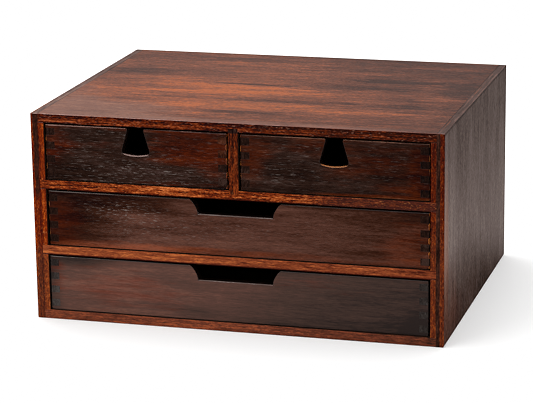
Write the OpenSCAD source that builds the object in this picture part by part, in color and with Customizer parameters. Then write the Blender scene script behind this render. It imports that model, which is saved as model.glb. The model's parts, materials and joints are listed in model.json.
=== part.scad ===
// Desktop chest of mini drawers in stained plywood: two small drawers side by
// side over two full-width drawers, all sliding in a housed and rabbeted case.
// Millimetres. Origin at the middle of the underside, front towards -Y, +Z up.

/* [Case] */
// Overall width of the case
case_w = 340; // [300:1:380]
// Overall depth of the case, front to back
case_d = 267; // [240:1:300]
// Thickness of the top, the bottom and the two shelves
board_t = 7.5; // [6:0.5:9]
// Thickness of the two side panels
side_t = 11; // [9:0.5:14]
// Thickness of the upright divider between the small drawers
divider_t = 8; // [6:0.5:10]
// Thickness of the back panel
back_t = 3; // [3:0.5:4]
// Clear height of each of the three rows of drawers
row_h = 47.5; // [44:0.5:60]

/* [Case joints] */
// Depth of the housings and rabbets cut in the side panels
housing_d = 4.5; // [3:0.5:6]
// Depth of the housings that hold the divider's two ends
divider_housing = 3; // [2:0.5:4]
// Height of the rabbet in the top and the bottom that takes the back panel
back_lap = 4; // [3:0.5:4.5]

/* [Brads in the back panel] */
// Radius of a brad's shank
brad_r = 0.6; // [0.5:0.1:0.8]
// Radius of a brad's flat head
brad_head_r = 1.3; // [1:0.1:1.5]
// Length of a brad, head included
brad_l = 12; // [10:1:16]

/* [Drawers] */
// How far the closed drawer fronts sit behind the case's front edges
recess = 2; // [0:0.5:4]
// Gap at each side of a drawer that stands in the middle of its opening
side_gap = 1.4; // [1.2:0.1:2]
// Gap under a drawer
under_gap = 0.3; // [0.2:0.1:0.5]
// Gap over a drawer
over_gap = 1.6; // [1:0.1:2.5]
// Gap behind a closed drawer
rear_gap = 0.4; // [0.2:0.1:2]
// Thickness of a drawer's front, back and sides
wall_t = 7.2; // [6:0.2:8]
// Thickness of a drawer's bottom
floor_t = 3; // [2:0.5:3]
// Depth of the groove that holds a drawer's bottom
groove_d = 3; // [2:0.5:4]
// Number of fingers on each end of a drawer's side
fingers = 4; // [2:1:4]
// How far the left small drawer stands to the right of centre in its opening
left_play = -0.3; // [-0.6:0.1:0.6]
// How far the right small drawer stands to the right of centre in its opening
right_play = 0.2; // [-0.6:0.1:0.6]
// How far the middle drawer stands to the right of centre in its opening
middle_play = 0.3; // [-0.6:0.1:0.6]
// How far the lower drawer stands to the right of centre in its opening
lower_play = -0.5; // [-0.6:0.1:0.6]

/* [Finger cut-outs] */
// Neck width of the bell-shaped cut-out in a small drawer's front
bell_neck_w = 14; // [12:0.5:18]
// Width of the bell-shaped cut-out where its slanted sides end
bell_foot_w = 23; // [20:0.5:28]
// Depth of the bell-shaped cut-out at its middle
bell_depth = 22.4; // [21:0.2:25]
// Width of the wide cut-out along its flat floor
scoop_floor_w = 61.8; // [50:0.2:80]
// Width of the wide cut-out at the front's top edge
scoop_top_w = 76.2; // [70:0.2:96]
// Depth of the wide cut-out
scoop_depth = 12.3; // [10:0.1:14]
// Radius of the rounded ends of the wide cut-out
scoop_r = 20; // [18:1:40]

/* [Hidden] */
$fn = 96;

case_h = 4 * board_t + 3 * row_h;
x_out = case_w / 2;                 // outer face of a side panel
x_in = x_out - side_t;              // inner face of a side panel
x_housing = x_in + housing_d;       // where the shelves end inside the sides
y_front = -case_d / 2;
y_rear = case_d / 2;
y_back = y_rear - back_t;           // inner face of the back panel

z_lower = board_t + row_h;          // underside of the lower shelf
z_upper = 2 * (board_t + row_h);    // underside of the upper shelf
z_top = 3 * (board_t + row_h);      // underside of the top panel

drawer_h = row_h - under_gap - over_gap;
drawer_y0 = y_front + recess;
drawer_y1 = y_back - rear_gap;
finger_h = drawer_h / (2 * fingers);
groove_z = finger_h / 2 + 0.7;      // the groove stays inside the lowest finger

small_opening = (case_w - 2 * side_t - divider_t) / 2;
wide_opening = case_w - 2 * side_t;

// [left edge, width, lower edge] of each drawer
LEFT = [-x_in + side_gap + left_play, small_opening - 2 * side_gap, z_upper + board_t + under_gap];
RIGHT = [divider_t / 2 + side_gap + right_play, small_opening - 2 * side_gap, z_upper + board_t + under_gap];
MIDDLE = [-x_in + side_gap + middle_play, wide_opening - 2 * side_gap, z_lower + board_t + under_gap];
LOWER = [-x_in + side_gap + lower_play, wide_opening - 2 * side_gap, board_t + under_gap];

// Places of the brads, as [x, z] on the back panel
x_brad = x_in + housing_d / 2;
z_brad = z_top + back_lap / 2;
BRADS = concat(
    [for (s = [-1, 1], i = [0:2]) [s * x_brad, board_t + row_h / 2 + i * (row_h + board_t)]],
    [for (s = [-3, -1, 1, 3]) [s * case_w / 8.5, z_brad]],
    [for (s = [-3, -1, 1, 3]) [s * case_w / 8.5, board_t - back_lap / 2]],
    [for (s = [-1, 1], z = [z_lower, z_upper]) [s * case_w / 4.25, z + board_t / 2]],
    [[0, z_upper + board_t + row_h / 2]]
);

// A box given by its lowest corner and its highest corner
module span(a, b) {
    translate(a) cube([b[0] - a[0], b[1] - a[1], b[2] - a[2]]);
}

// A flat outline drawn in X and Z, pushed along Y from y0 to y1
module along_y(y0, y1) {
    translate([0, y1, 0]) rotate([90, 0, 0]) linear_extrude(y1 - y0) children();
}

// One brad with its flat head flush with the back panel; grow widens it
module brad(grow = 0) {
    translate([0, y_rear, 0]) rotate([90, 0, 0]) {
        cylinder(r = brad_r + grow, h = brad_l);
        cylinder(r = brad_head_r + grow, h = 0.7);
    }
}

module all_brads() {
    for (p = BRADS) translate([p[0], 0, p[1]]) brad();
}

// Side panel on the right; the left one is its mirror image
module side_panel() {
    difference() {
        span([x_in, y_front, 0], [x_out, y_rear, case_h]);
        // rabbets for the bottom and the top
        span([x_in - 1, y_front - 1, -1], [x_housing, y_rear + 1, board_t]);
        span([x_in - 1, y_front - 1, z_top], [x_housing, y_rear + 1, case_h + 1]);
        // housings for the shelves
        span([x_in - 1, y_front - 1, z_lower], [x_housing, y_back, z_lower + board_t]);
        span([x_in - 1, y_front - 1, z_upper], [x_housing, y_back, z_upper + board_t]);
        // rabbet for the back panel
        span([x_in - 1, y_back, -1], [x_housing, y_rear + 1, case_h + 1]);
        all_brads();
    }
}

module left_side_panel() {
    color("#7c4326") mirror([1, 0, 0]) side_panel();
}

module right_side_panel() {
    color("#7c4326") side_panel();
}

module top_panel() {
    color("#8a5a46") difference() {
        span([-x_housing, y_front, z_top], [x_housing, y_rear, case_h]);
        span([-x_housing - 1, y_back, z_top - 1], [x_housing + 1, y_rear + 1, z_top + back_lap]);
        span([-divider_t / 2, y_front - 1, z_top - 1], [divider_t / 2, y_back, z_top + divider_housing]);
        all_brads();
    }
}

module bottom_panel() {
    color("#6f3c22") difference() {
        span([-x_housing, y_front, 0], [x_housing, y_rear, board_t]);
        span([-x_housing - 1, y_back, board_t - back_lap], [x_housing + 1, y_rear + 1, board_t + 1]);
        all_brads();
    }
}

module lower_shelf() {
    color("#94502a") difference() {
        span([-x_housing, y_front, z_lower], [x_housing, y_back, z_lower + board_t]);
        all_brads();
    }
}

module upper_shelf() {
    color("#94502a") difference() {
        span([-x_housing, y_front, z_upper], [x_housing, y_back, z_upper + board_t]);
        span([-divider_t / 2, y_front - 1, z_upper + board_t - divider_housing], [divider_t / 2, y_back + 1, z_upper + board_t + 1]);
        all_brads();
    }
}

module center_divider() {
    color("#6b3a24") difference() {
        span([-divider_t / 2, y_front, z_upper + board_t - divider_housing], [divider_t / 2, y_back, z_top + divider_housing]);
        all_brads();
    }
}

module back_panel() {
    color("#7d5138") difference() {
        span([-x_housing, y_back, board_t - back_lap], [x_housing, y_rear, z_top + back_lap]);
        all_brads();
    }
}

module back_panel_brads() {
    color("#5a5450") all_brads();
}

// Points along an arc about [x, z], from angle a to angle b in n steps
function arc(x, z, r, a, b, n) = [for (i = [0:n]) let (t = a + (b - a) * i / n) [x + r * cos(t), z + r * sin(t)]];

// Bell-shaped finger cut-out, its mouth at the origin and its floor below:
// a short straight neck, slanted sides, round lower corners, a shallow floor
module bell_outline() {
    neck = bell_neck_w / 2;
    foot = bell_foot_w / 2;
    mouth = 1.2;                                // radius of the eased corners at the mouth
    corner = 3;                                 // radius of the lower corners
    neck_z = -2.2;                              // where the straight neck ends
    foot_z = 4.9 - bell_depth;                  // where the slanted sides end
    slant = atan2(foot - neck, neck_z - foot_z);
    cx = foot - corner * cos(slant);
    cz = foot_z - corner * sin(slant);
    up = cz + bell_depth;
    floor_r = (cx * cx + up * up - corner * corner) / (2 * (up - corner));
    meet = atan2(up - floor_r, cx);             // direction in which the floor runs into the corners
    floor_arc = arc(0, floor_r - bell_depth, floor_r, meet, -90, 8);
    half = concat(
        [[neck + mouth, 1]],
        arc(neck + mouth, -mouth, mouth, 90, 180, 6),
        [[neck, neck_z]],
        arc(cx, cz, corner, slant, meet, 12),
        [for (i = [1:8]) floor_arc[i]]
    );
    polygon(concat(half, [for (i = [len(half) - 2:-1:0]) [-half[i][0], half[i][1]]]));
}

// Wide finger cut-out with a flat floor; the front's shoulders beside it are rounded
module scoop_outline() {
    a = scoop_floor_w / 2;
    b = scoop_top_w / 2;
    chord = sqrt((b - a) * (b - a) + scoop_depth * scoop_depth);
    inset = sqrt(scoop_r * scoop_r - chord * chord / 4);
    // centre of the rounded shoulder, inside the wood
    cx = (a + b) / 2 + inset * scoop_depth / chord;
    cz = -scoop_depth / 2 - inset * (b - a) / chord;
    difference() {
        polygon([[-b, 0], [-b, 1], [b, 1], [b, 0], [a, -scoop_depth], [-a, -scoop_depth]]);
        for (s = [-1, 1]) translate([s * cx, cz]) circle(scoop_r, $fn = 256);
    }
}

// The drawer's bottom board, let into grooves on all four sides
module floor_board(d) {
    span([d[0] + wall_t - groove_d, drawer_y0 + wall_t - groove_d, d[2] + groove_z],
         [d[0] + d[1] - wall_t + groove_d, drawer_y1 - wall_t + groove_d, d[2] + groove_z + floor_t]);
}

// A drawer's front or back board with its finger joints; children are cut from its top edge
module cross_board(d, y0) {
    difference() {
        span([d[0], y0, d[2]], [d[0] + d[1], y0 + wall_t, d[2] + drawer_h]);
        for (x = [d[0] - 1, d[0] + d[1] - wall_t], i = [0:fingers - 1])
            span([x, y0 - 1, d[2] + finger_h / 2 + 2 * i * finger_h], [x + wall_t + 1, y0 + wall_t + 1, d[2] + finger_h * 1.5 + 2 * i * finger_h]);
        floor_board(d);
        along_y(y0 - 1, y0 + wall_t + 1) translate([d[0] + d[1] / 2, d[2] + drawer_h]) children();
    }
}

// A drawer's side board at x0, with fingers that run through the front and the back
module side_board(d, x0) {
    difference() {
        union() {
            span([x0, drawer_y0 + wall_t, d[2]], [x0 + wall_t, drawer_y1 - wall_t, d[2] + drawer_h]);
            for (i = [0:fingers - 1])
                span([x0, drawer_y0, d[2] + finger_h / 2 + 2 * i * finger_h], [x0 + wall_t, drawer_y1, d[2] + finger_h * 1.5 + 2 * i * finger_h]);
        }
        floor_board(d);
    }
}

module left_drawer_front() { color("#3a2018") cross_board(LEFT, drawer_y0) bell_outline(); }
module left_drawer_back() { color("#4a2a1d") cross_board(LEFT, drawer_y1 - wall_t); }
module left_drawer_left_side() { color("#43261b") side_board(LEFT, LEFT[0]); }
module left_drawer_right_side() { color("#43261b") side_board(LEFT, LEFT[0] + LEFT[1] - wall_t); }
module left_drawer_bottom() { color("#553322") floor_board(LEFT); }

module right_drawer_front() { color("#3a2018") cross_board(RIGHT, drawer_y0) bell_outline(); }
module right_drawer_back() { color("#4a2a1d") cross_board(RIGHT, drawer_y1 - wall_t); }
module right_drawer_left_side() { color("#43261b") side_board(RIGHT, RIGHT[0]); }
module right_drawer_right_side() { color("#43261b") side_board(RIGHT, RIGHT[0] + RIGHT[1] - wall_t); }
module right_drawer_bottom() { color("#553322") floor_board(RIGHT); }

module middle_drawer_front() { color("#3c231b") cross_board(MIDDLE, drawer_y0) scoop_outline(); }
module middle_drawer_back() { color("#4a2a1d") cross_board(MIDDLE, drawer_y1 - wall_t); }
module middle_drawer_left_side() { color("#43261b") side_board(MIDDLE, MIDDLE[0]); }
module middle_drawer_right_side() { color("#43261b") side_board(MIDDLE, MIDDLE[0] + MIDDLE[1] - wall_t); }
module middle_drawer_bottom() { color("#553322") floor_board(MIDDLE); }

module lower_drawer_front() { color("#4a3630") cross_board(LOWER, drawer_y0) scoop_outline(); }
module lower_drawer_back() { color("#4a2a1d") cross_board(LOWER, drawer_y1 - wall_t); }
module lower_drawer_left_side() { color("#43261b") side_board(LOWER, LOWER[0]); }
module lower_drawer_right_side() { color("#43261b") side_board(LOWER, LOWER[0] + LOWER[1] - wall_t); }
module lower_drawer_bottom() { color("#553322") floor_board(LOWER); }

left_side_panel();
right_side_panel();
top_panel();
bottom_panel();
lower_shelf();
upper_shelf();
center_divider();
back_panel();
back_panel_brads();
left_drawer_front();
left_drawer_back();
left_drawer_left_side();
left_drawer_right_side();
left_drawer_bottom();
right_drawer_front();
right_drawer_back();
right_drawer_left_side();
right_drawer_right_side();
right_drawer_bottom();
middle_drawer_front();
middle_drawer_back();
middle_drawer_left_side();
middle_drawer_right_side();
middle_drawer_bottom();
lower_drawer_front();
lower_drawer_back();
lower_drawer_left_side();
lower_drawer_right_side();
lower_drawer_bottom();
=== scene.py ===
"""Looks of the stained plywood chest of mini drawers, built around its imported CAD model."""

import json
import math
import bpy
import bmesh
from mathutils import Vector, Matrix, noise
from mathutils.bvhtree import BVHTree


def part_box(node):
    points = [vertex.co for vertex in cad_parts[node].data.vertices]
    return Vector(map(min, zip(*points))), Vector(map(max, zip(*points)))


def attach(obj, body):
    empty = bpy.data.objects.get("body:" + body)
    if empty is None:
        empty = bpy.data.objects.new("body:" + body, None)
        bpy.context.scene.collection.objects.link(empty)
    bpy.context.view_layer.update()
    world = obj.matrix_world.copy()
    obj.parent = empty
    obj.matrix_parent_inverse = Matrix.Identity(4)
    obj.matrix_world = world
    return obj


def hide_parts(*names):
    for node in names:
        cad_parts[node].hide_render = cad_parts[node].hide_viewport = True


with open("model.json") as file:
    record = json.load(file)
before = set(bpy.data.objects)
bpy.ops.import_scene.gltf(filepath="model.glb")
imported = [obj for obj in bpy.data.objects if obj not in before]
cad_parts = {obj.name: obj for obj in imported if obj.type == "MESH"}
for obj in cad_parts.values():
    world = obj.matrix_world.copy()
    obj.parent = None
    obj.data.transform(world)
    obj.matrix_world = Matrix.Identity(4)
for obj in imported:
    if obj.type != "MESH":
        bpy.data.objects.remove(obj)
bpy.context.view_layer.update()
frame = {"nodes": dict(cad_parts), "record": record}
NODES = frame["nodes"]
BODY_OF = {m: body for body, members in frame["record"]["behaviour"]["bodies"].items() for m in members}

scene = bpy.context.scene
MM = 0.001


# ---------------------------------------------------------------- camera

def look(location, forward, up, lens):
    cam_data = bpy.data.cameras.new("camera")
    cam = bpy.data.objects.new("camera", cam_data)
    scene.collection.objects.link(cam)
    f = Vector(forward).normalized()
    r = f.cross(Vector(up)).normalized()
    u = r.cross(f)
    m = Matrix((r, u, -f)).transposed().to_4x4()
    m.translation = Vector(location)
    cam.matrix_world = m
    cam_data.sensor_fit = "HORIZONTAL"
    cam_data.sensor_width = 36.0
    cam_data.lens = lens
    cam_data.clip_start, cam_data.clip_end = 0.05, 50
    scene.camera = cam
    return cam


look((0.5178, -1.8485, 0.5882), (-0.2658, 0.9287, -0.2587), (-0.0574, 0.2527, 0.9658), 158.05)


# ---------------------------------------------------------------- materials

def lin(hexa):
    """A hex colour as linear RGB."""
    out = []
    for i in (0, 2, 4):
        c = int(hexa[i:i + 2], 16) / 255
        out.append(c / 12.92 if c <= 0.04045 else ((c + 0.055) / 1.055) ** 2.4)
    return (*out, 1.0)


# how a face of the standing chest shows in the studio: light gained, and the pale veil of its own sheen
LIGHT = {"front": (1.32, 0.0021), "low": (1.26, 0.0047), "edge": (1.33, 0.0030), "top": (1.48, 0.035), "side": (1.04, 0.031), "plain": (1.0, 0.0)}


class Graph:
    """Short calls that build a material's nodes; lengths are in millimetres of the row frame.
    Tones are written as they look in the studio light, and turned into the stain's own colour."""

    def __init__(self, name, axis="x", seed=0.0, light="plain"):
        self.gain, self.veil = LIGHT[light]
        self.mat = bpy.data.materials.new(name)
        self.mat.use_nodes = True
        self.t = self.mat.node_tree
        self.t.nodes.clear()
        self.out = self.t.nodes.new("ShaderNodeOutputMaterial")
        self.bsdf = self.t.nodes.new("ShaderNodeBsdfPrincipled")
        self.t.links.new(self.bsdf.outputs[0], self.out.inputs[0])
        self.coord = self.t.nodes.new("ShaderNodeTexCoord").outputs["Object"]
        n = self.t.nodes.new("ShaderNodeVectorMath")
        n.operation = "SCALE"
        n.inputs["Scale"].default_value = 1000.0
        self.put(n.inputs[0], self.coord)
        self.mm = n.outputs[0]
        n = self.t.nodes.new("ShaderNodeSeparateXYZ")
        self.put(n.inputs[0], self.mm)
        self.x, self.y, self.z = n.outputs
        self.axis = axis
        self.seed = seed

    def stain(self, hexa):
        return (*(max(0.0004, (c - self.veil) / self.gain) for c in lin(hexa)[:3]), 1.0)

    def put(self, socket, value):
        if isinstance(value, bpy.types.NodeSocket):
            self.t.links.new(value, socket)
        else:
            socket.default_value = value

    def math(self, op, a, b=0.0, c=0.0):
        n = self.t.nodes.new("ShaderNodeMath")
        n.operation = op
        self.put(n.inputs[0], a)
        self.put(n.inputs[1], b)
        self.put(n.inputs[2], c)
        return n.outputs[0]

    def add(self, *v):
        out = v[0]
        for w in v[1:]:
            out = self.math("ADD", out, w)
        return out

    def mul(self, *v):
        out = v[0]
        for w in v[1:]:
            out = self.math("MULTIPLY", out, w)
        return out

    def sub(self, a, b):
        return self.math("SUBTRACT", a, b)

    def grain(self, length, width, salt=0.0, detail=3.0, rough=0.55, warp=0.0, axis=None):
        """Noise drawn out along the grain: marks of about length by width."""
        axis = axis or self.axis
        n = self.t.nodes.new("ShaderNodeMapping")
        self.put(n.inputs["Vector"], self.mm)
        n.inputs["Scale"].default_value = [1.0 / length if a == axis else 1.0 / width for a in "xyz"]
        s = self.seed * 3.71 + salt * 17.3
        n.inputs["Location"].default_value = (s * 1.3 + 3.1, s * 2.1 + 1.7, s * 0.7 + 8.3)
        t = self.t.nodes.new("ShaderNodeTexNoise")
        self.put(t.inputs["Vector"], n.outputs[0])
        t.inputs["Scale"].default_value = 1.0
        t.inputs["Detail"].default_value = detail
        t.inputs["Roughness"].default_value = rough
        t.inputs["Distortion"].default_value = warp
        return t.outputs[0]

    def waves(self, *layers):
        """Sum of grain layers about 0: (length, width, weight)."""
        out = None
        for i, (length, width, weight) in enumerate(layers):
            n = self.grain(length, width, salt=i + 1, warp=0.25 if i == 0 else 0.0)
            n = self.mul(self.sub(n, 0.5), weight)
            out = n if out is None else self.add(out, n)
        return out

    def tones(self, value, *colours, at=None):
        n = self.t.nodes.new("ShaderNodeValToRGB")
        self.put(n.inputs[0], value)
        e = n.color_ramp.elements
        while len(e) < len(colours):
            e.new(0.5)
        if at is None:
            at = [0.08 + 0.84 * i / (len(colours) - 1) for i in range(len(colours))]
        for el, p, c in zip(e, at, colours):
            el.position = p
            el.color = self.stain(c)
        return n.outputs[0]

    def range(self, value, a, b, lo=0.0, hi=1.0):
        n = self.t.nodes.new("ShaderNodeMapRange")
        n.interpolation_type = "SMOOTHSTEP"
        self.put(n.inputs["Value"], value)
        n.inputs["From Min"].default_value = a
        n.inputs["From Max"].default_value = b
        n.inputs["To Min"].default_value = lo
        n.inputs["To Max"].default_value = hi
        return n.outputs[0]

    def mix(self, fac, a, b, mode="MIX"):
        n = self.t.nodes.new("ShaderNodeMix")
        n.data_type = "RGBA"
        n.blend_type = mode
        n.clamp_factor = True
        self.put(n.inputs[0], fac)
        self.put(n.inputs[6], self.stain(a) if isinstance(a, str) else a)
        self.put(n.inputs[7], self.stain(b) if isinstance(b, str) else b)
        return n.outputs[2]

    def darken(self, colour, fac, by=(0.35, 0.32, 0.32, 1)):
        return self.mix(fac, colour, self.mix(1.0, colour, by, "MULTIPLY"))

    def band(self, value, lo, hi, soft):
        return self.mul(self.range(value, lo - soft, lo + soft), self.range(value, hi - soft, hi + soft, 1.0, 0.0))

    def zones(self, axes, *rows):
        """Sum of broad soft areas (a, b, radius a, radius b, strength)."""
        u, v = (getattr(self, a) for a in axes)
        out = None
        for a, b, ra, rb, strength in rows:
            du = self.math("DIVIDE", self.sub(u, a), ra)
            dv = self.math("DIVIDE", self.sub(v, b), rb)
            d = self.math("SQRT", self.add(self.mul(du, du), self.mul(dv, dv)))
            s = self.range(d, 1.35, 0.15, 0.0, strength)
            out = s if out is None else self.add(out, s)
        return out

    def spots(self, axes, *rows):
        """Sum of soft stain patches (a, b, radius a, radius b, strength), their rims broken up by the grain."""
        u, v = (getattr(self, a) for a in axes)
        wob = self.sub(self.grain(16, 4, salt=31, detail=4.0, rough=0.6), 0.5)
        out = None
        for a, b, ra, rb, strength in rows:
            du = self.math("DIVIDE", self.sub(u, a), ra)
            dv = self.math("DIVIDE", self.sub(v, b), rb)
            d = self.math("SQRT", self.add(self.mul(du, du), self.mul(dv, dv)))
            s = self.range(self.add(d, self.mul(wob, 2.4)), 1.35, 0.35, 0.0, strength)
            out = s if out is None else self.add(out, s)
        return out

    def bump(self, height, strength, distance=0.0002):
        n = self.t.nodes.new("ShaderNodeBump")
        n.inputs["Strength"].default_value = strength
        n.inputs["Distance"].default_value = distance
        self.put(n.inputs["Height"], height)
        self.put(self.bsdf.inputs["Normal"], n.outputs[0])

    def finish(self, colour, rough, spec):
        self.put(self.bsdf.inputs["Base Color"], colour)
        self.put(self.bsdf.inputs["Roughness"], rough)
        self.put(self.bsdf.inputs["Specular IOR Level"], spec)
        return self.mat


def veneer(name, axis, tones, seed, layers=((60, 6, 1.2), (24, 1.7, 1.1), (9, 1.1, 0.9), (4, 0.5, 0.5)), shift=None, red_and_painted_light=None,
           red_and_painted_light_mask=None, streaks=0.8, painted_glint=None, glint_colour="8f827c", glint_size=(4.2, 0.6), pores=0.5, rough=0.45, spec=0.06,
           bump=0.3, light="plain"):
    """Stained veneer: broad and fine streaks, a second set of tones (red stain on the fronts, painted sheen on the top
    and painted reflection on the right side), painted glints on the open grain and dark pores, all drawn out along the
    grain.
    """
    g = Graph(name, axis, seed, light)
    v = g.add(g.waves(*layers), 0.5)
    if shift is not None:
        v = g.add(v, shift(g))
    colour = g.tones(v, *tones)
    # second tones: red stain on the drawer fronts, painted sheen on the top and painted reflection on the right side
    if red_and_painted_light is not None:
        m = g.add(red_and_painted_light_mask(g), g.mul(g.sub(g.grain(40, 5.0, salt=7, detail=3.0), 0.5), streaks * 1.4),
                  g.mul(g.sub(g.grain(13, 1.3, salt=8, detail=3.0), 0.5), streaks * 0.7))
        colour = g.mix(g.range(m, 0.15, 0.85), colour, g.tones(v, *red_and_painted_light))
    fine = g.grain(5, 0.42, salt=9, detail=2.0)
    pore = g.range(g.grain(5.5, 0.8, salt=11, detail=3.0, rough=0.6), 0.56, 0.70)
    colour = g.darken(colour, g.mul(pore, pores), (0.3, 0.26, 0.26, 1))
    height = g.sub(fine, g.mul(pore, 0.9))
    # painted glints: short pale dashes that stand for light caught in the pores
    if painted_glint is not None:
        line = g.range(g.grain(glint_size[0] * 3, glint_size[1], salt=13, detail=2.0, rough=0.55), 0.51, 0.66)
        gap = g.range(g.grain(glint_size[0] * 1.5, glint_size[1] * 2.6, salt=15, detail=3.0, rough=0.6), 0.44, 0.60)
        part = g.range(g.grain(glint_size[0] * 0.6, glint_size[1], salt=16, detail=1.0), 0.36, 0.60, 0.3, 1.0)
        f = g.mul(line, gap, part, painted_glint(g) if callable(painted_glint) else painted_glint)
        colour = g.mix(f, colour, glint_colour)
        height = g.add(height, g.mul(f, 0.6))
    g.bump(height, bump)
    r = g.add(rough, g.mul(g.sub(fine, 0.5), 0.25), g.mul(pore, 0.12))
    return g.finish(colour, r, spec(g) if callable(spec) else spec)


def edge(name, axis, tones, seed, layers=((38, 1.7, 1.2), (16, 1.1, 1.4), (6, 1.0, 1.5), (2.0, 0.9, 1.4)), shift=None, dark=None,
         dark_mask=None, wear_and_painted_light=None, wear_and_painted_light_mask=None, speck=0.35, speck_colour="e08a50", pits=0.6, rough=0.5, spec=0.03, bump=0.4, light="plain"):
    """The sanded edge of plywood: strong fine streaks, darker plies, pale flecks and small pits."""
    g = Graph(name, axis, seed, light)
    v = g.add(g.waves(*layers), 0.5)
    if shift is not None:
        v = g.add(v, shift(g))
    colour = g.tones(v, *tones)
    if wear_and_painted_light is not None:
        colour = g.mix(wear_and_painted_light_mask(g), colour, g.tones(v, *wear_and_painted_light))
    bits = g.range(g.grain(3.2, 0.8, salt=21, detail=2.0, rough=0.6), 0.60, 0.72)
    colour = g.mix(g.mul(bits, speck), colour, speck_colour)
    if dark is not None:
        colour = g.mix(dark_mask(g), colour, g.tones(v, *dark))
    pit = g.range(g.grain(3.6, 0.95, salt=23, detail=2.0, rough=0.6), 0.58, 0.70)
    colour = g.darken(colour, g.mul(pit, pits), (0.2, 0.14, 0.12, 1))
    fine = g.grain(6, 0.45, salt=25, detail=2.0)
    g.bump(g.sub(fine, pit), bump)
    return g.finish(colour, g.add(rough, g.mul(g.sub(fine, 0.5), 0.25)), spec)


def arris(name, axis, base, wear_and_painted_light, seed, amount=0.0, rough=0.4, spec=0.2, size=(26, 2.0), light="front"):
    """A rounded arris, paler where the stain is rubbed thin and where painted highlight stands for the light it
    catches: amount is added to that pale part, as a number or a function.
    """
    g = Graph(name, axis, seed, light)
    n = g.add(g.grain(size[0], size[1], salt=1, detail=4.0, rough=0.6), g.mul(g.sub(g.grain(3, 0.7, salt=2, detail=2.0), 0.5), 0.5))
    n = g.add(n, amount(g) if callable(amount) else amount)
    colour = g.mix(g.range(n, 0.40, 0.68), base, wear_and_painted_light)
    g.bump(g.grain(4, 0.5, salt=3), 0.2)
    return g.finish(colour, rough, spec)


def steel(name):
    g = Graph(name)
    n = g.grain(1.1, 1.1, detail=4.0, rough=0.6)
    colour = g.tones(n, "2e2b29", "625d58", "45301f", at=(0.35, 0.6, 0.75))
    g.bsdf.inputs["Metallic"].default_value = 1.0
    g.bump(n, 0.3, 0.0001)
    return g.finish(colour, g.range(n, 0.3, 0.7, 0.3, 0.6), 0.5)


M = {}

# case, outside
M["top_face"] = veneer(
    "top_veneer", "x", ("564541", "715047", "8f5f4f", "bc6f4e"), 1, light="top",
    layers=((90, 12, 0.6), (50, 4.2, 0.6), (20, 2.3, 0.6), (7, 1.4, 0.75), (2.6, 1.6, 0.85)),
    shift=lambda g: g.add(
        g.spots("xy", (-14, -3, 46, 5, 0.24), (0, -18, 60, 4, 0.22), (-60, -26, 58, 5, 0.24), (95, -78, 66, 9, 0.24), (-46, -102, 16, 8, 0.22), (-56, -75, 24, 6, 0.25),
                (-66, 92, 58, 9, 0.24), (60, 71, 34, 7, 0.2), (142, -17, 26, 9, 0.26), (-147, -28, 8, 7, 0.2), (-118, 25, 34, 8, 0.12),
                (-132, 43, 42, 12, -0.34), (90, 44, 42, 10, -0.32), (68, 13, 56, 10, -0.32), (-23, 9, 30, 3.5, -0.5), (18, -49, 68, 8, -0.34),
                (114, -50, 34, 9, -0.3), (153, 27, 20, 34, -0.26), (-1, -94, 32, 8, -0.28), (-110, -62, 20, 6, -0.18), (-125, -119, 34, 9, -0.14)),
        g.zones("xy", (120, 95, 120, 60, -0.26), (-110, -80, 90, 60, 0.05), (130, -110, 80, 40, -0.12), (-110, 90, 90, 70, -0.05), (-10, -12, 100, 40, 0.16), (162, 0, 14, 160, -0.12),
                (30, 122, 100, 20, -0.16), (-85, 99, 90, 18, -0.12), (88, 30, 80, 20, -0.13), (-68, 9, 78, 20, 0.11), (134, -18, 56, 40, -0.17), (-100, -28, 96, 34, 0.13),
                (5, -59, 104, 15, 0.22), (146, -58, 44, 24, -0.1), (-28, -80, 124, 16, 0.14), (15, -126, 54, 12, -0.14), (152, -124, 36, 14, -0.09))),
    # the pale greyish second tones, mixed in most at the front left, along the front edge and at the left end, are
    # painted sheen of the satin finish
    red_and_painted_light=("7c5f57", "88665c", "966f62", "aa7b69"), streaks=0.6,
    red_and_painted_light_mask=lambda g: g.zones("xy", (-118, -105, 80, 46, 0.75), (0, -130, 260, 12, 0.6), (-160, -60, 30, 60, 0.4)),
    rough=0.42, spec=0.015, bump=0.15, pores=0.4)
PLY = ((400, 26, 0.4), (90, 9, 0.4), (28, 3.4, 0.4), (7, 1.5, 0.6), (2.6, 1.0, 0.8))
# greyish tones that carry part of the side's sheen as painted colour
M["side_face_left"] = veneer(
    "left_side_veneer", "z", ("3c2f2b", "4f413c", "61524d", "766661"), 51, light="side", layers=PLY,
    red_and_painted_light=("3c2820", "563c32", "6a4d42", "7e6055"), streaks=0.4, red_and_painted_light_mask=lambda g: 0.25,
    rough=0.55, spec=0.015, bump=0.2, pores=0.4)


def above_shaded_foot(g):
    """Height over the slanting upper edge of the painted shade along the foot of the right side."""
    return g.add(g.z, g.mul(g.math("MAXIMUM", g.y, -50.0), 0.28), g.mul(g.sub(g.grain(90, 40, salt=33), 0.5), 22))


def side_shade_and_sheen(g):
    """Painted light on the right side: painted shade darkens it along the foot, painted sheen makes it palest above
    that and greyer towards the top, and painted highlight lightens the front edge.
    """
    s = above_shaded_foot(g)
    return g.add(g.range(s, 8, 66, -0.24, 0.22), g.range(s, 66, 170, 0.0, -0.30), g.range(g.z, 169.8, 171.4, 0.0, -0.18),
                 g.zones("yz", (-106, 110, 34, 84, 0.11), (117, 86, 26, 84, 0.13), (80, 90, 36, 60, 0.05), (-106, 26, 34, 34, 0.10), (-130, 86, 12, 120, 0.16),
                         (80, 60, 80, 80, -0.08), (-66, 130, 32, 44, -0.09), (-90, 32, 110, 16, 0.05), (-55, 14, 62, 34, 0.12), (112, 118, 16, 20, 0.08)))


# greyish tones that carry part of the side's sheen as painted colour; the reddish second tones at the lower front and
# down the front edge are painted reflection and highlight
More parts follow.
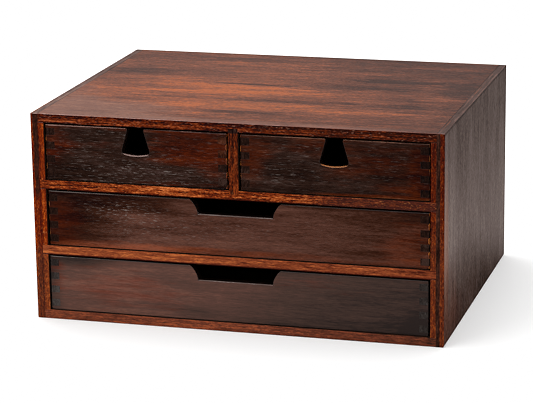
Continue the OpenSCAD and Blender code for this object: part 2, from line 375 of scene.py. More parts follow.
M["side_face_right"] = veneer(
    "right_side_veneer", "z", ("332824", "463b37", "5c504c", "6c5f5b", "80736e"), 3, light="side", layers=PLY, shift=side_shade_and_sheen,
    red_and_painted_light=("34231c", "4a352d", "604840", "76594f", "8a6c61"), streaks=0.4,
    red_and_painted_light_mask=lambda g: g.add(0.05, g.zones("yz", (-106, 26, 40, 46, 0.42), (-50, 8, 90, 26, 0.25), (-128, 50, 12, 70, 0.4), (-126, 104, 14, 70, 0.5))),
    rough=0.55, spec=lambda g: g.range(above_shaded_foot(g), 12, 62, 0.0045, 0.015), bump=0.2, pores=0.4)
CAP = ((60, 3, 1.0), (20, 1.6, 1.0), (8, 1.0, 0.6))
# the pale orange second tones along the outer front edge of the left cap are a painted highlight of its arris
M["side_cap_left"] = edge(
    "left_side_cap", "y", ("584844", "6c5a55", "7e6660", "9a7c70"), 6, light="top", layers=CAP, speck=0.15, speck_colour="b88878", pits=0.4, spec=0.015,
    shift=lambda g: g.add(g.range(g.y, -20, 50, 0.18, -0.06), g.range(g.x, -164.7, -164.1, 0.0, -0.22), g.mul(g.sub(g.grain(34, 9, salt=45), 0.5), 0.5)),
    wear_and_painted_light=("8a5a46", "a06448", "b0704e", "c08060"), wear_and_painted_light_mask=lambda g: g.mul(g.range(g.x, -168.6, -169.6), g.range(g.y, -60, -100, 0.1, 0.8)))
# the pale second tones by the joint, and the paler bands by the joint and by the outer edge of the right cap, are
# painted highlights of its arrises
M["side_cap_right"] = edge(
    "right_side_cap", "y", ("52423e", "5e504c", "6a5854", "866c64"), 50, light="top", layers=CAP, speck=0.15, speck_colour="a08078", pits=0.4, spec=0.015,
    shift=lambda g: g.add(g.range(g.x, 164.1, 164.7, -0.14, 0.0), g.mul(g.band(g.x, 164.8, 166.0, 0.4), 0.12), g.mul(g.band(g.x, 168.4, 169.6, 0.3), 0.2), g.mul(g.sub(g.grain(34, 9, salt=45), 0.5), 0.5)),
    wear_and_painted_light=("7a5248", "8c5c4c", "9c6852", "b07a64"), wear_and_painted_light_mask=lambda g: g.mul(g.band(g.x, 164.8, 165.9, 0.4), g.range(g.grain(30, 6, salt=47), 0.46, 0.62, 0.0, 0.6)))

# case, front edges
# Painted shade: the rails darken towards the right (the top edge and upper shelf also through duller second tones) as
# the light falls off across the front; they darken along their lower arris partly as stain gathered in the corner,
# partly as painted shade over the gap below.
TOPS = ("220a04", "4c1a09", "6c290d", "9c4e2a")
M["top_edge"] = edge("top_edge", "x", TOPS, 2, light="edge", pits=0.7, speck=0.3, speck_colour="c98a70",
                     shift=lambda g: g.add(g.range(g.x, -40, 20, 0.06, -0.12), g.range(g.z, 167.4, 170.6, 0.0, -0.26), g.range(g.z, 165.3, 166.0, -0.4, 0.0), g.zones("xz", (154, 168, 20, 60, -0.14), (40, 168, 34, 60, -0.08), (-116, 168, 34, 60, -0.08))),
                     wear_and_painted_light=("2a110a", "4a1c0d", "662810", "84401f"), wear_and_painted_light_mask=lambda g: g.range(g.x, -10, 60, 0.0, 0.85))
M["shelf_edge_up"] = edge("upper_shelf_edge", "x", ("40150a", "762c10", "9a481e", "d0733c"), 7, light="edge", speck=0.3,
                          shift=lambda g: g.add(g.range(g.x, 50, 90, 0.0, -0.28), g.range(g.z, 110.5, 111.3, -0.6, 0.0), g.mul(g.band(g.z, 112.9, 114.3, 0.5), g.range(g.x, -20, 40, -0.16, 0.03)),
                                                   g.zones("xz", (-148, 114, 20, 60, -0.24), (-110, 114, 30, 60, -0.13), (-48, 114, 22, 60, 0.17), (10, 114, 44, 60, -0.17), (134, 114, 24, 60, -0.13))),
                          wear_and_painted_light=("42201a", "56291b", "66301f", "864a2c"), wear_and_painted_light_mask=lambda g: g.range(g.x, 40, 90, 0.0, 0.85))
M["shelf_edge_low"] = edge("lower_shelf_edge", "x", ("481c12", "763720", "8e4628", "bb6636"), 8, light="edge", speck=0.2, pits=0.5,
                           shift=lambda g: g.add(g.range(g.x, -60, 120, 0.10, -0.08), g.range(g.z, 55.5, 56.2, -0.8, 0.0), g.zones("xz", (108, 59, 24, 60, 0.16), (152, 59, 18, 60, -0.12), (-48, 59, 20, 60, 0.06))), layers=((38, 1.7, 0.8), (15, 1.05, 1.05), (6, 0.9, 1.0), (2.4, 0.8, 0.8)))
M["bottom_edge"] = edge("bottom_edge", "x", ("36201a", "5c3022", "713b2a", "9c5032"), 9, light="edge", speck=0.15, pits=0.5,
                        shift=lambda g: g.add(g.range(g.x, -60, 120, 0.14, -0.06), g.zones("xz", (154, 4, 20, 60, -0.12), (-30, 4, 44, 60, 0.06))), layers=((38, 1.7, 0.7), (13, 1.05, 1.0), (5, 0.9, 1.0), (2.4, 0.8, 0.9)))
M["divider_edge"] = edge("divider_edge", "z", ("270e06", "4c1d0c", "652710", "863b17"), 10, light="edge", speck=0.2, pits=0.6,
                         shift=lambda g: g.add(g.range(g.z, 146, 158, 0.05, -0.16), g.mul(g.band(g.add(g.x, g.mul(g.sub(g.grain(30, 3, salt=41), 0.5), 3)), -0.9, 0.3, 0.3), -0.2)),
                         dark=("160b08", "241410", "342019", "5c463e"), dark_mask=lambda g: g.range(g.z, 163.8, 164.6))
M["side_edge_left"] = edge(
    "side_edge_left", "z", ("380f02", "5c1c04", "7c2c07", "b4541a"), 5, light="edge", layers=((40, 2.2, 0.6), (10, 1.6, 0.7), (3.4, 1.3, 1.1), (1.5, 0.8, 0.9)),
    shift=lambda g: g.add(g.range(g.x, -164.5, -161.5, -0.08, 0.1), g.range(g.x, -167.8, -168.6, 0.0, 0.14), g.range(g.z, 96, 112, 0.06, -0.06), g.mul(g.band(g.x, -164.6, -163.0, 0.4), -0.15)),
    wear_and_painted_light=("2e1610", "54261a", "75341a", "a45424"), wear_and_painted_light_mask=lambda g: g.range(g.add(g.z, g.mul(g.sub(g.grain(20, 3, salt=43), 0.5), 40)), 64, 52),
    dark=("22110c", "381b13", "4a241a", "6a3624"), speck=0.3,
    dark_mask=lambda g: g.mul(g.band(g.add(g.x, g.mul(g.sub(g.grain(26, 4, salt=41), 0.5), 4.0)), -167.8, -163.9, 0.4),
                              g.add(g.range(g.z, 98, 108), g.mul(g.range(g.z, 58, 44), 0.35))))
M["side_edge_right"] = edge(
    "side_edge_right", "z", ("200903", "421503", "5e2005", "8c3c10"), 4, light="edge", layers=((40, 2.2, 0.6), (10, 1.6, 0.7), (3.4, 1.3, 1.1), (1.5, 0.8, 0.9)),
    wear_and_painted_light=("2a130c", "522315", "703018", "9c501f"), wear_and_painted_light_mask=lambda g: g.range(g.z, 112, 70), speck=0.25,
    shift=lambda g: g.mul(g.sub(g.grain(26, 3, salt=44), 0.5), g.band(g.x, 163.0, 166.7, 0.3), 1.5),
    dark=("1b0e0a", "2a1811", "3b221a", "523024"),
    dark_mask=lambda g: g.band(g.add(g.x, g.mul(g.sub(g.grain(60, 8, salt=41), 0.5), 0.8)), 163.2, 166.5, 0.3))

# case, inside and back
CALM = ((110, 14, 0.7), (50, 4, 0.5), (20, 1.5, 0.5), (8, 0.9, 0.5))
M["case_inner"] = veneer("case_inside", "x", ("0f0906", "1b110c", "281911", "362418"), 11, rough=0.6, layers=CALM)
M["back_ply"] = veneer("back_veneer", "x", ("2c1b14", "40281d", "523325", "684634"), 12, rough=0.55,
                       layers=((130, 16, 0.7), (60, 5, 0.5), (22, 1.6, 0.5), (8, 0.9, 0.5)), pores=0.4)
M["back_edge"] = edge("back_edge", "x", ("2e1a12", "4a2818", "5e3420", "7a4a2e"), 13)
M["brads"] = steel("brad_steel")

# drawer fronts
DARK = ("120906", "21130e", "32211b", "483530")
RED = ("1c0902", "361205", "501c09", "723a1e")
FINE = ((60, 8, 0.8), (24, 2.4, 0.5), (8, 1.1, 0.6), (3.2, 0.6, 0.6))
M["front_left"] = veneer(
    "left_front_veneer", "x", ("110805", "1f110c", "2f1e18", "463430"), 21, layers=FINE, red_and_painted_light=RED, light="front",
    shift=lambda g: g.zones("xz", (-135, 126, 32, 12, -0.16), (-95, 124, 50, 10, 0.10), (-80, 137, 30, 5, 0.08), (-154, 152, 8, 10, 0.08), (-80, 163, 120, 2.6, 0.12), (-132, 119, 26, 2, 0.16), (-60, 128, 40, 12, 0.16), (-30, 150, 40, 16, -0.08), (-148, 146, 22, 16, -0.08)),
    red_and_painted_light_mask=lambda g: g.zones("xz", (-30, 150, 44, 20, 0.62), (-150, 147, 20, 18, 0.6), (-155, 140, 8, 8, 0.4), (-80, 138, 22, 4, 0.08), (-118, 146, 26, 8, 0.3), (-62, 139, 34, 5, 0.12), (-50, 148, 34, 14, 0.2), (-14, 134, 18, 24, 0.3), (-80, 163, 120, 3.2, 0.35), (-62, 119, 44, 4, 0.4)),
    painted_glint=lambda g: g.add(0.14, g.zones("xz", (-95, 127, 50, 16, 0.3), (-55, 126, 45, 12, 0.24), (-125, 145, 22, 14, 0.24), (-95, 159, 18, 5, 0.3), (-60, 146, 20, 14, 0.12))),
    glint_size=(3.2, 0.6), streaks=0.7, rough=0.45, spec=0.02)
M["front_right"] = veneer(
    "right_front_veneer", "x", DARK, 22, layers=FINE, red_and_painted_light=("1e0a03", "381407", "4c1e0b", "6a3820"), light="front",
    shift=lambda g: g.zones("xz", (60, 134, 46, 9, -0.12), (30, 130, 30, 9, 0.10), (100, 128, 60, 12, -0.03), (82, 137, 28, 6, 0.10), (125, 118, 70, 2.2, 0.3), (132, 146, 40, 22, -0.14), (154, 140, 14, 26, -0.24), (156, 128, 8, 6, -0.2), (50, 163, 60, 2.6, 0.1), (90, 134, 30, 16, 0.05)),
    red_and_painted_light_mask=lambda g: g.add(g.zones("xz", (16, 150, 22, 16, 0.6), (14, 132, 14, 12, 0.4), (66, 157, 36, 10, 0.45), (82, 138, 22, 5, 0.2), (130, 146, 44, 20, 0.4), (146, 122, 40, 9, 0.5), (152, 138, 12, 30, 0.6), (90, 140, 30, 20, 0.2), (125, 118, 70, 2.6, 1.2), (80, 163, 100, 3.0, 0.3)), 0.05),
    painted_glint=lambda g: g.add(0.08, g.zones("xz", (40, 132, 36, 12, 0.2), (55, 150, 36, 12, 0.14), (110, 145, 50, 18, 0.06))), glint_size=(3.2, 0.6), streaks=0.7, rough=0.45, spec=0.02)
M["front_middle"] = veneer(
    "middle_front_veneer", "x", ("1a0a05", "371d13", "58382e", "744c3e"), 23, light="front", layers=((80, 9, 0.6), (26, 2.2, 0.28), (8, 1.1, 0.36), (3, 0.6, 0.4)),
    shift=lambda g: g.add(g.range(g.x, -135, -70, -0.34, 0.08), g.range(g.x, 40, 140, 0.0, -0.18), g.zones("xz", (-95, 92, 26, 12, 0.1), (-100, 62, 70, 8, 0.46), (-125, 75, 26, 9, 0.17), (-125, 65, 22, 4, -0.10), (-95, 77, 24, 9, 0.11), (-50, 71, 64, 5, 0.09), (158, 73, 7, 5, 0.15), (-152, 88, 16, 22, 0.14), (134, 78, 18, 14, 0.14), (40, 63, 60, 5, 0.12), (100, 64, 50, 7, 0.06), (-132, 64.5, 26, 4, 0.3), (-78, 107, 46, 5, -0.28), (-84, 99, 34, 7, -0.34), (-60, 97, 20, 8, -0.16), (90, 108, 70, 5, -0.2), (145, 106, 16, 6, -0.12))),
    red_and_painted_light=("240c04", "45190a", "66301b", "8e4a31"), streaks=0.7,
    red_and_painted_light_mask=lambda g: g.add(g.range(g.z, 73, 65, 0.0, 0.65), g.zones("xz", (145, 84, 30, 24, 0.5), (-146, 86, 24, 22, 0.75), (110, 74, 50, 10, 0.2), (110, 64, 70, 8, -0.4))),
    painted_glint=lambda g: g.add(0.05, g.zones("xz", (-104, 96, 30, 8, 0.6), (-84, 86, 38, 18, 0.5), (-30, 84, 50, 16, 0.24), (40, 86, 60, 14, 0.12))), glint_size=(2.8, 0.55), pores=0.35, rough=0.45, spec=0.02)
# the lower front is lighter at the left and darkens towards the right as painted shade of the light falling off across
# the front
M["front_lower"] = veneer(
    "lower_front_veneer", "x", ("2c2422", "46352f", "5b4038", "7c5446"), 24, light="low", layers=((150, 14, 0.5), (50, 2.2, 0.3), (16, 1.2, 0.32), (5, 0.8, 0.36)),
    shift=lambda g: g.add(g.range(g.x, -60, 150, 0.17, -0.28), g.range(g.z, 22, 8, 0.0, -0.12), g.zones("xz", (-35, 15, 22, 6, -0.12), (-160, 26, 12, 40, -0.28), (152, 14, 16, 18, -0.2), (-136, 51, 34, 7, -0.42), (-20, 53, 160, 4, -0.16), (-105, 9, 80, 6, 0.2),
                                                  (-158, 31, 9, 6, -0.16), (-158, 43, 9, 6, -0.12), (-90, 23, 22, 8, 0.10), (-46, 38, 56, 7, -0.17), (30, 26, 36, 24, -0.09), (75, 21, 34, 9, -0.12), (132, 19, 28, 7, -0.09), (132, 43, 28, 8, 0.06))),
    red_and_painted_light=("3a211a", "50291f", "66382c", "805044"), streaks=0.9,
    red_and_painted_light_mask=lambda g: g.zones("xz", (-95, 30, 70, 22, 0.5), (70, 42, 60, 9, 0.35), (-154, 42, 10, 18, 0.55), (-154, 22, 10, 10, 0.15)), rough=0.45, spec=0.05, bump=0.15, pores=0.2)
# the walls of each cut-out, near-black as painted shadow of its hollow, with a pale band along the front of its foot,
# partly rubbed by fingers and partly a painted highlight where light falls on the lip
for k, foot, pale_depth, rubbed_and_lit_tones in (("left", 141.0, 1.7, ("6a524c", "8a6e66", "a8887e", "b89a90")), ("right", 141.0, 1.7, ("84482a", "a86238", "c47a46", "d8965e")),
                             ("middle", 96.1, 1.0, ("5a4a46", "6a5a56", "7c6a66", "9c8a85")), ("lower", 41.1, 0.4, ("5a4a46", "6a5a56", "7c6a66", "9c8a85"))):
    M["cut_wall_" + k] = edge(
        k + "_cut_out_wall", "y", ("080504", "120a08", "1c110d", "2a1a14"), 34, layers=((20, 3, 1.0), (8, 1.2, 0.8), (3, 0.7, 0.6)), speck=0.05, pits=0.4,
        wear_and_painted_light=rubbed_and_lit_tones, wear_and_painted_light_mask=lambda g, foot=foot, pale_depth=pale_depth: g.mul(g.range(g.y, -130.9 + pale_depth, -131.4 + pale_depth, 0.0, 1.0), g.range(g.z, foot + 2.0, foot + 0.9, 0.0, 1.0)),
        rough=0.6, spec=0.05, light="front")
ENDS = ((7, 3, 0.9), (3, 1.2, 1.0), (1.4, 0.6, 0.8))
M["finger_end"] = edge("finger_end_grain", "z", ("120906", "1b0f0b", "271711", "3c2a24"), 25, layers=ENDS,
                       shift=lambda g: g.zones("xz", (-9, 123.5, 6, 5, 0.42), (-9, 152, 6, 9, 0.28), (154.5, 136, 9, 26, -0.24), (155, 68.5, 7, 6, 0.5), (155, 80, 7, 6, 0.26), (9, 130, 7, 18, 0.16), (-155, 152, 7, 12, 0.12)),
                       wear_and_painted_light=("1c0b06", "301309", "43200f", "5a3020"), wear_and_painted_light_mask=lambda g: g.zones("xz", (-9, 153, 9, 13, 0.85)), speck=0.25, speck_colour="5a4c46", pits=0.3, light="edge")
M["finger_slate"] = edge("slate_finger_end_grain", "z", ("201b19", "2a2422", "393330", "4a4340"), 27, layers=ENDS, shift=lambda g: g.mul(g.range(g.x, -20, 20, 1.0, 0.0), g.range(g.z, 18, 46, 0.36, -0.1)), speck=0.1, speck_colour="6a5a54", pits=0.2, light="edge")
# end grain of the tails: pale end grain painted brighter still as a painted highlight, so that it shows in the shaded
# gap beside the divider
M["tail_end"] = edge("tail_end_grain", "z", ("5a2a12", "a05a28", "d0863e", "f0b060"), 26, layers=((6, 2, 1.2), (2.5, 0.6, 1.4)), light="front")
# near-black: painted shade of the narrow gap over the drawer fronts
M["front_top"] = edge("front_top_edge", "x", ("060303", "0c0705", "140b08", "241812"), 49, light="plain", speck=0.08, speck_colour="3a281e", pits=0.3)
# the other front ends: the same end grain painted near-black as painted shade of the gap
M["end_shaded"] = edge("shaded_end_grain", "z", ("070403", "100806", "1a0f0a", "2a1a13"), 28, layers=ENDS, light="front", speck=0.1, speck_colour="4a3226", pits=0.3)
# painted highlights: the pale line along the top arris of each drawer front stands for the light it catches, fading
# towards the right
M["arris_left"] = arris("left_front_arris", "x", "3a2019", "9c756a", 31, lambda g: g.add(g.range(g.x, -100, -80, 0.12, -0.06), g.zones("xz", (-118, 163, 20, 20, 0.1))))
M["arris_right"] = arris("right_front_arris", "x", "40251b", "865c48", 32, lambda g: g.range(g.x, 40, 95, 0.0, -0.04))
M["arris_middle"] = arris("middle_front_arris", "x", "2a1c17", "5c504c", 33, lambda g: g.range(g.x, -120, -60, 0.12, -0.14))
M["arris_lower"] = arris("lower_front_arris", "x", "342926", "6e625e", 34, lambda g: g.range(g.x, -140, -100, 0.12, -0.14))
# painted highlights on the lips at the foot of the cut-outs
M["lip_left"] = arris("left_lip_arris", "x", "8a6e66", "b4968e", 35, 0.1)
M["lip_right"] = arris("right_lip_arris", "x", "8a5432", "bb7c4e", 36, 0.1)
M["lip_middle"] = arris("middle_lip_arris", "x", "6a5650", "9c8a85", 37, 0.0)
M["lip_lower"] = arris("lower_lip_arris", "x", "6a5650", "9c8a85", 38, 0.0)
# orange painted highlights on the arrises at the drawer ends, where light reaches into the gaps
M["arris_side"] = arris("drawer_side_arris", "z", "4a1c0c", "cc7a34", 39, -0.02, size=(9, 2))
M["arris_tail"] = arris("drawer_tail_arris", "z", "6c2c0d", "c4702a", 48, lambda g: g.mul(g.band(g.z, 112, 142, 3), -0.12), size=(5, 2))
M["arris_dark"] = arris("drawer_bottom_arris", "x", "1c110d", "4a2c20", 40, -0.1)
M["foot_left"] = arris("left_front_foot", "x", "2c1a14", "4a3028", 54, 0.0)
M["foot_lower"] = arris("lower_front_foot", "x", "2c201c", "5a4640", 55, lambda g: g.range(g.x, -60, 60, 0.14, -0.2))
M["back_arris"] = arris("case_back_arris", "x", "33211c", "5e3a2e", 56, 0.0, light="plain")
# painted highlight along the front arris of the top, fading towards the right
M["case_arris"] = arris("case_top_arris", "x", "7a4e42", "b58f85", 41, lambda g: g.range(g.x, -60, 120, 0.05, -0.1), light="plain")

# drawer boxes
M["box_out"] = veneer("drawer_box_outside", "y", ("1c110d", "301d15", "422a1e", "563828"), 42, rough=0.5, layers=CALM, pores=0.4)
M["box_in"] = veneer("drawer_box_inside", "y", ("20140f", "362118", "482e20", "5c3e2d"), 43, rough=0.55, layers=CALM, pores=0.4)
M["box_edge"] = edge("drawer_box_edge", "y", ("2a160e", "4a2616", "5e3420", "7c4a2c"), 44)
M["box_edge_x"] = edge("drawer_box_edge_x", "x", ("2a160e", "4a2616", "5e3420", "7c4a2c"), 45)
M["box_cross"] = veneer("drawer_box_cross", "x", ("20140f", "362118", "482e20", "5c3e2d"), 46, rough=0.55, layers=CALM, pores=0.4)
M["floor_ply"] = veneer("drawer_floor_veneer", "x", ("2a1811", "42281b", "563524", "6a4632"), 47, rough=0.6, layers=CALM, pores=0.35)


# ---------------------------------------------------------------- meshes

def clean_mesh(node):
    """The CAD node's surface as joined planar faces."""
    src = NODES[node].data
    bm = bmesh.new()
    verts = [bm.verts.new(v.co) for v in src.vertices]
    for p in src.polygons:
        vs = [verts[i] for i in p.vertices]
        if len(set(vs)) == len(vs):
            try:
                bm.faces.new(vs)
            except ValueError:
                pass
    bmesh.ops.remove_doubles(bm, verts=bm.verts, dist=2e-6)
    bmesh.ops.dissolve_degenerate(bm, edges=bm.edges, dist=1e-6)
    bmesh.ops.recalc_face_normals(bm, faces=bm.faces)
    bmesh.ops.dissolve_limit(bm, angle_limit=math.radians(0.6), verts=bm.verts, edges=bm.edges, delimit={"NORMAL"})
    bm.normal_update()
    return bm


TREES = {}


def tree(node):
    if node not in TREES:
        src = NODES[node].data
        TREES[node] = (BVHTree.FromPolygons([v.co for v in src.vertices], [list(p.vertices) for p in src.polygons]), *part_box(node))
    return TREES[node]


RAY = Vector((0.3137, 0.5721, 0.7581)).normalized()


def inside(point, node):
    t, lo, hi = tree(node)
    if any(point[i] < lo[i] - 1e-7 or point[i] > hi[i] + 1e-7 for i in range(3)):
        return False
    hits, origin = 0, point.copy()
    for _ in range(64):
        loc, _n, _i, _d = t.ray_cast(origin, RAY)
        if loc is None:
            break
        hits += 1
        origin = loc + RAY * 1e-6
    return hits % 2 == 1


def covered(point, node):
    """True if another board of the same body fills this point."""
    body = BODY_OF[node]
    return any(inside(point, other) for other in NODES if other != node and BODY_OF[other] == body and other != "back_panel_brads")


def ease_face(bm, node, width, steps=5):
    """Rounds the rim of a board's front face with a ring of quads. width gives the radius at a rim vertex, in
    millimetres, from its place and whether it touches another board. Returns the ring's vertices."""
    face = max((f for f in bm.faces if f.normal.y < -0.99), key=lambda f: f.calc_area())
    normal = face.normal.copy()
    d = 0.00015
    seams = set()
    for e in list(face.edges):
        mid = (e.verts[0].co + e.verts[1].co) / 2
        wall = next(f for f in e.link_faces if f != face)
        if covered(mid + wall.normal * d - normal * d, node):
            seams.add(e)
    for e in list(face.edges):
        if e in seams or e.calc_length() < 3 * MM:
            continue
        step = min(2.5 * MM, e.calc_length() * 0.25)
        a = e.verts[0]
        e2, v = bmesh.utils.edge_split(e, a, step / e.calc_length())
        rest = e if a not in e.verts else e2
        bmesh.utils.edge_split(rest, v, 1 - step / rest.calc_length())
    loops = list(face.loops)
    rim = [l.vert for l in loops]
    n = len(rim)
    radius, shift = [], []
    for i, v in enumerate(rim):
        a = normal.cross((v.co - rim[i - 1].co).normalized())
        b = normal.cross((rim[(i + 1) % n].co - v.co).normalized())
        shift.append((a + b) / (1 + a.dot(b)))
        seam = loops[i].edge in seams or loops[i - 1].edge in seams
        radius.append(width(v.co / MM, seam) * MM)
    base = [v.co.copy() for v in rim]
    rings = [rim]
    for k in range(1, steps + 1):
        t = math.pi / 2 * k / steps
        rings.append([bm.verts.new(base[i] + shift[i] * radius[i] * (1 - math.cos(t)) - normal * radius[i] * (1 - math.sin(t)))
                      for i in range(n)])
    bm.faces.remove(face)
    for i, v in enumerate(rim):
        v.co = base[i] - normal * radius[i]
    for a, b in zip(rings, rings[1:]):
        for i in range(n):
            j = (i + 1) % n
            bm.faces.new((a[i], a[j], b[j], b[i]))
    bm.faces.new(rings[-1])
    for a, b in zip(rings, rings[1:]):
        for i in range(n):
            e = bm.edges.get((a[i], b[i]))
            turn = (base[i] - base[i - 1]).angle(base[(i + 1) % n] - base[i], 0.0)
            e.smooth = turn < math.radians(35)
    bm.normal_update()
    return {v for ring in rings for v in ring}


def board(node, classify, open_w=0.5, seam_w=0.1, width=None, shortest=0.4, rim=None):
    """A board with eased arrises where it meets the air and hairline arrises where it meets another board.
    Edges shorter than shortest, in millimetres, are those of the brad holes and stay sharp."""
    bm = clean_mesh(node)
    ring = ease_face(bm, node, rim) if rim else set()
    layer = bm.edges.layers.float.new("bevel_weight_edge")
    for e in bm.edges:
        if ring.intersection(e.verts):
            if not ring.issuperset(e.verts) and len(e.link_faces) == 2 and e.calc_face_angle(0.0) > math.radians(35):
                e.smooth = False
            continue
        if len(e.link_faces) != 2 or e.calc_face_angle(0.0) < math.radians(35):
            continue
        n1, n2 = e.link_faces[0].normal, e.link_faces[1].normal
        mid = (e.verts[0].co + e.verts[1].co) / 2
        d = 0.00015
        over = mid + n1 * d + n2 * d
        if inside(over, node) or e.calc_length() < shortest * MM:
            e.smooth = False
            continue
        seam = any(covered(q, node) for q in (mid + n1 * d - n2 * d, mid + n2 * d - n1 * d, over))
        w = seam_w if seam else open_w
        if width is not None:
            w = width(mid / MM, n1, n2, seam, w)
        e[layer] = w / 2.0
    me = bpy.data.meshes.new(node)
    bm.to_mesh(me)
    bm.free()
    for p in me.polygons:
        p.use_smooth = True
    ob = bpy.data.objects.new(node + "_board", me)
    scene.collection.objects.link(ob)
    mod = ob.modifiers.new("arris", "BEVEL")
    mod.limit_method = "WEIGHT"
    mod.width = 2.0 * MM
    mod.segments = 4
    mod.profile = 0.5
    mod.use_clamp_overlap = False
    mod.miter_outer = "MITER_SHARP"
    mod = ob.modifiers.new("shading", "WEIGHTED_NORMAL")
    mod.keep_sharp = True
    mod.weight = 100
    dg = bpy.context.evaluated_depsgraph_get()
    done = bpy.data.meshes.new_from_object(ob.evaluated_get(dg), preserve_all_data_layers=True, depsgraph=dg)
    ob.modifiers.clear()
    ob.data = done
    done.name = node + "_mesh"
    keys = []
    index = []
    for p in done.polygons:
        key = classify(p.center / MM, p.normal)
        if key not in keys:
            keys.append(key)
        index.append(keys.index(key))
    done.materials.clear()
    for key in keys:
        done.materials.append(M[key])
    for p, k in zip(done.polygons, index):
        p.material_index = k
    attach(ob, BODY_OF[node])
    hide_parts(node)
    return ob


def facing(n1, n2, axis, sign):
    """True if either face looks squarely along the signed axis."""
    i = "xyz".index(axis)
    return n1[i] * sign > 0.9 or n2[i] * sign > 0.9


# ---------------------------------------------------------------- case

def case_side(which):
    out = 1 if which == "right" else -1

    def classify(c, n):
        if n.x * out > 0.98:
            return "side_face_" + which
        if n.z > 0.2 and n.y < -0.2:
            return "case_arris"
        if n.y < -0.2 or n.y > 0.9:
            return "side_edge_" + which
        if n.z > 0.1 and c.z > 171:
            return "side_cap_" + which
        if abs(n.z) > 0.9 and c.z < 1 or (n.x * out > 0.1 and c.z < 3):
            return "side_edge_" + which
        return "side_face_" + which if n.x * out > 0.1 else "case_inner"

    def width(m, n1, n2, seam, w):
        if not seam and facing(n1, n2, "x", out) and facing(n1, n2, "z", -1):
            return 1.9 if which == "left" else 1.2
        if not seam and which == "left" and facing(n1, n2, "x", out) and facing(n1, n2, "z", 1):
            return 0.18
        return w

    board(which + "_side_panel", classify, open_w=0.35, width=width)


case_side("left")
case_side("right")


def flat_board(node, edge_key, open_w, face_up="case_inner"):
    """Shelves, top and bottom: grain along x, plies showing on the front and back edges."""
    def classify(c, n):
        if n.z > 0.95:
            return face_up
        if n.z < -0.95:
            return "case_inner"
        if face_up == "top_face" and n.z > 0.2 and n.y < -0.2:
            return "case_arris"
        if face_up == "top_face" and n.z > 0.2 and n.y > 0.2:
            return "back_arris"
        return edge_key

    board(node, classify, open_w=open_w)


flat_board("top_panel", "top_edge", 0.35, "top_face")
flat_board("bottom_panel", "bottom_edge", 0.6)
flat_board("lower_shelf", "shelf_edge_low", 0.35)
flat_board("upper_shelf", "shelf_edge_up", 0.35)
board("center_divider", lambda c, n: "case_inner" if abs(n.x) > 0.95 else "divider_edge", open_w=0.35)
board("back_panel", lambda c, n: "back_ply" if abs(n.y) > 0.9 else "back_edge", open_w=0.2)
board("back_panel_brads", lambda c, n: "brads", open_w=0.12, shortest=0)


# ---------------------------------------------------------------- drawers

def drawer(d, cut_x, cut_half):
    lo, hi = (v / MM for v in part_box(d + "_drawer_front"))
    face = "front_" + d

    def front(c, n):
        in_cut = abs(c.x - cut_x) < cut_half and c.z < hi.z - 0.05
        if n.y < -0.995:
            return face
        if n.y > 0.9:
            return "box_cross"
        if n.y < -0.1:
            # on the middle and lower fronts the upper part of the top arris takes the near-black painted shade of the
            # gap above
            if c.z > hi.z - 1.2 and n.z > 0.1:
                return "front_top" if n.z > (0.6 if d == "lower" else 0.85) and d in ("middle", "lower") else "arris_" + d
            if in_cut and n.z > 0.2:
                return "lip_" + d if abs(n.x) < 0.35 else "arris_dark"
            if min(abs(c.x - lo.x), abs(c.x - hi.x)) < 1.1:
                return "arris_dark" if d == "lower" else "arris_tail" if d in ("left", "middle") and c.x > cut_x else "arris_side"
            return "foot_" + d if d in ("left", "lower") and n.z < -0.2 else "arris_dark"
        # the top face of the front board is painted near-black as shade of the gap above
        if c.z > hi.z - 0.8 and n.z > 0.3:
            return "front_top"
        if min(abs(c.x - lo.x), abs(c.x - hi.x)) < 0.6:
            return "tail_end" if d in ("left", "middle") and c.x > cut_x else "end_shaded"
        return "cut_wall_" + d if in_cut else "box_edge_x"

    def rim(p, seam):
        """Radius of the front's arris: well rubbed along the top and at the foot of the cut-out."""
        if seam:
            return 0.08
        if abs(p.x - cut_x) < cut_half and p.z < hi.z - 0.01:
            foot = hi.z - (22.4 if cut_half < 20 else 12.3)
            return 0.22 + 0.36 * max(0.0, min(1.0, (foot + 3.2 - p.z) / 3.0))
        if p.z > hi.z - 0.01:
            near = min(p.x - lo.x, hi.x - p.x, max(0.0, abs(p.x - cut_x) - cut_half))
            return 0.8 if near > 1.0 and abs(p.x - cut_x) > cut_half else 0.45
        if abs(p.x - hi.x) < 0.01 and d in ("left", "middle"):
            return 0.9
        return 0.3

    board(d + "_drawer_front", front, open_w=0.45, rim=rim, shortest=0)

    def back(c, n):
        if abs(n.y) > 0.95:
            return "box_cross"
        if abs(n.x) > 0.6 and min(abs(c.x - lo.x), abs(c.x - hi.x)) < 0.6:
            return "tail_end"
        return "box_edge_x"

    board(d + "_drawer_back", back, open_w=0.45)

    for s, out in (("left", -1), ("right", 1)):
        def side(c, n, out=out):
            if abs(n.y) > 0.3:
                return "finger_slate" if d == "lower" else "finger_end"
            if abs(n.x) > 0.95:
                return "box_out" if n.x * out > 0 else "box_in"
            return "box_edge"
        board(f"{d}_drawer_{s}_side", side, open_w=0.45)
    board(d + "_drawer_bottom", lambda c, n: "floor_ply", open_w=0.2)


drawer("left", -81.8, 12.8)
drawer("right", 81.7, 12.8)
drawer("middle", 0.3, 39.5)
drawer("lower", -0.5, 39.5)


# ---------------------------------------------------------------- stage and light

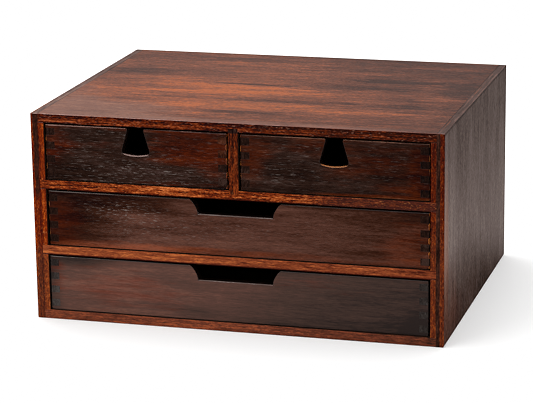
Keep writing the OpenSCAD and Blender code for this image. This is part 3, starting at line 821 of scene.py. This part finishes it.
bm = bmesh.new()
bmesh.ops.create_grid(bm, x_segments=8, y_segments=8, size=6.0)
me = bpy.data.meshes.new("floor")
bm.to_mesh(me)
bm.free()
floor = bpy.data.objects.new("floor", me)
floor.location = (0, 0, -0.0002)
scene.collection.objects.link(floor)
g = Graph("floor_white")
g.bsdf.inputs["Emission Color"].default_value = (1, 1, 1, 1)
g.bsdf.inputs["Emission Strength"].default_value = 0.2
me.materials.append(g.finish((0.75, 0.75, 0.75, 1), 0.9, 0.1))

world = bpy.data.worlds.new("world")
scene.world = world
world.use_nodes = True
wt = world.node_tree
wt.nodes.clear()
wo = wt.nodes.new("ShaderNodeOutputWorld")
bg = wt.nodes.new("ShaderNodeBackground")
bg.inputs[0].default_value = (1, 1, 1, 1)
bg.inputs[1].default_value = 1.0
wt.links.new(bg.outputs[0], wo.inputs[0])


def area(name, location, target, size, power, colour=(1, 1, 1)):
    data = bpy.data.lights.new(name, "AREA")
    data.shape = "RECTANGLE"
    data.size, data.size_y = size
    data.energy = power
    data.color = colour
    ob = bpy.data.objects.new(name, data)
    ob.location = location
    ob.rotation_euler = (Vector(target) - Vector(location)).to_track_quat("-Z", "Y").to_euler()
    ob.visible_camera = False
    scene.collection.objects.link(ob)
    return ob


area("overhead", (-0.35, 0.05, 1.9), (0, 0, 0.05), (2.2, 2.2), 22)
area("sheen_back_left", (-1.5, 1.5, 0.95), (0, 0, 0.1), (1.2, 1.0), 6)
area("front_left", (-1.0, -1.6, 0.9), (0, 0, 0.08), (1.0, 0.8), 9)

# a light sharpening of the finished picture, done on its display tones
scene.use_nodes = True
nt = scene.node_tree
nt.nodes.clear()
layers = nt.nodes.new("CompositorNodeRLayers")
encode = nt.nodes.new("CompositorNodeGamma")
encode.inputs["Gamma"].default_value = 1 / 2.2
white = nt.nodes.new("CompositorNodeMixRGB")
white.blend_type = "DARKEN"
white.inputs[2].default_value = (1, 1, 1, 1)
crisp = nt.nodes.new("CompositorNodeFilter")
crisp.filter_type = "SHARPEN_DIAMOND"
crisp.inputs["Fac"].default_value = 0.16
floor_tone = nt.nodes.new("CompositorNodeMixRGB")
floor_tone.blend_type = "LIGHTEN"
floor_tone.inputs[2].default_value = (0, 0, 0, 1)
decode = nt.nodes.new("CompositorNodeGamma")
decode.inputs["Gamma"].default_value = 2.2
result = nt.nodes.new("CompositorNodeComposite")
nt.links.new(layers.outputs["Image"], encode.inputs["Image"])
nt.links.new(encode.outputs["Image"], white.inputs[1])
nt.links.new(white.outputs["Image"], crisp.inputs["Image"])
nt.links.new(crisp.outputs["Image"], floor_tone.inputs[1])
nt.links.new(floor_tone.outputs["Image"], decode.inputs["Image"])
nt.links.new(decode.outputs["Image"], result.inputs["Image"])

scene.view_settings.view_transform = "Standard"
scene.view_settings.look = "None"
scene.view_settings.exposure = 0.0
scene.view_settings.gamma = 1.0
